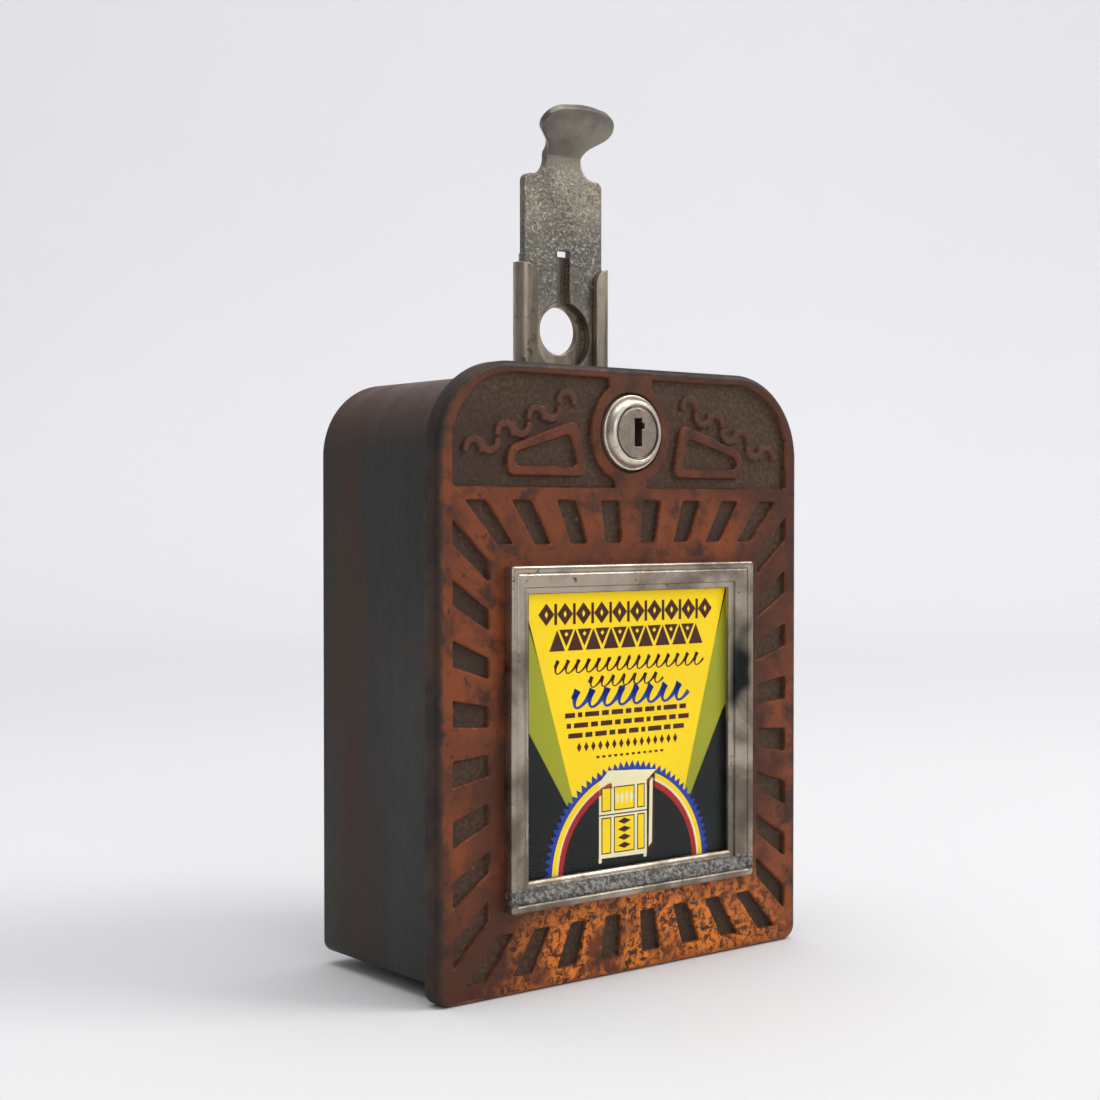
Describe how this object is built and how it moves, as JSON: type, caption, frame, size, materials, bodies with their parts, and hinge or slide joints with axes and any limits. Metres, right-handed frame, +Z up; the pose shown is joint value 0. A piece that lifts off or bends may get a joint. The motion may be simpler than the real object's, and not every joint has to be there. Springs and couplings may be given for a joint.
{
  "type": "coin box with push-down coin slide",
  "caption": "Upright coin box: cast cover with rayed relief and framed card, key lock, deep case and a push-down coin slide rising from the top.",
  "frame": {"origin": "centre of the bounding box, on the surface that the cover's lower edge stands on", "axes": "+X to the right of a person facing the box, +Y to its back, +Z up along the coin slide"},
  "size_m": [0.1194, 0.0602, 0.2222],
  "materials": {
    "cast_cover": "cast iron under worn copper-brown enamel",
    "case_iron": "dark japanned iron, brown with age",
    "bezel_nickel": "worn nickel plate, pitted",
    "lock_nickel": "satin nickel plate",
    "slide_steel": "nickelled steel, pitted and dulled",
    "glass": "clear window glass",
    "printed_card": "printed card in yellow, black and olive",
    "fibreboard": "brown fibreboard",
    "plated_steel": "zinc-plated sheet steel",
    "screw_steel": "plain steel",
    "spring_steel": "hard-drawn spring wire",
    "brass": "dull brass",
    "bakelite": "dark brown bakelite",
    "rubber": "black rubber",
    "tray_paint": "black stove enamel"
  },
  "bodies": {
    "case": {"rear_case": "case_iron", "lock_keeper": "plated_steel", "keeper_screws": "screw_steel", "hinge_pins": "plated_steel", "slide_guide": "slide_steel", "coin_stripper": "plated_steel", "stripper_screws": "screw_steel", "rod_seat": "plated_steel", "seat_screws": "screw_steel", "spring_rod": "plated_steel", "rod_bumper": "rubber", "rod_nut": "screw_steel", "return_spring": "spring_steel", "mechanism_plate": "plated_steel", "guide_rivets": "brass", "plate_posts": "plated_steel", "plate_screws": "screw_steel", "coin_chute": "plated_steel", "cash_tray": "tray_paint", "lever_bracket": "plated_steel", "lever_pin": "plated_steel", "switch_bracket": "plated_steel", "switch_screws": "screw_steel", "blade_insulators": "bakelite", "contact_blade_lower": "brass", "contact_blade_upper": "brass", "contact_buttons": "brass", "stack_screws": "screw_steel", "terminal_block": "bakelite", "terminal_screws": "brass", "cable_bush": "rubber"},
    "cover": {"front_cover": "cast_cover", "bezel_frame": "bezel_nickel", "glass_pane": "glass", "sign_card": "printed_card", "backing_board": "fibreboard", "retainer_strip_left": "plated_steel", "retainer_strip_right": "plated_steel", "retainer_screws": "screw_steel", "lock_housing": "lock_nickel", "lock_nut": "screw_steel"},
    "lock": {"lock_plug": "lock_nickel", "lock_cam": "plated_steel", "cam_washer": "plated_steel", "cam_screw": "screw_steel"},
    "slide": {"coin_slide": "slide_steel"},
    "lever": {"trip_lever": "plated_steel"}
  },
  "joints": [
    {"name": "slide_push", "type": "slide", "parent": "case", "child": "slide", "axis": [0, 0, -1], "range_m": [0, 0.028], "stiffness_N_per_m": 180, "springref_m": -0.0167, "deforming": ["return_spring"]},
    {"name": "cover_hinge", "type": "hinge", "parent": "case", "child": "cover", "pos_m": [0.05815, -0.0195, 0.066], "axis": [0, 0, 1], "range_deg": [0, 100]},
    {"name": "key_turn", "type": "hinge", "parent": "cover", "child": "lock", "pos_m": [0, -0.02095, 0.1367], "axis": [0, 1, 0], "range_deg": [0, 90]},
    {"name": "lever_trip", "type": "hinge", "parent": "case", "child": "lever", "pos_m": [0, 0.01605, 0.096], "axis": [1, 0, 0], "range_deg": [0, 18], "stiffness_Nm_per_rad": 0.002, "springref_deg": -17.19}
  ]
}
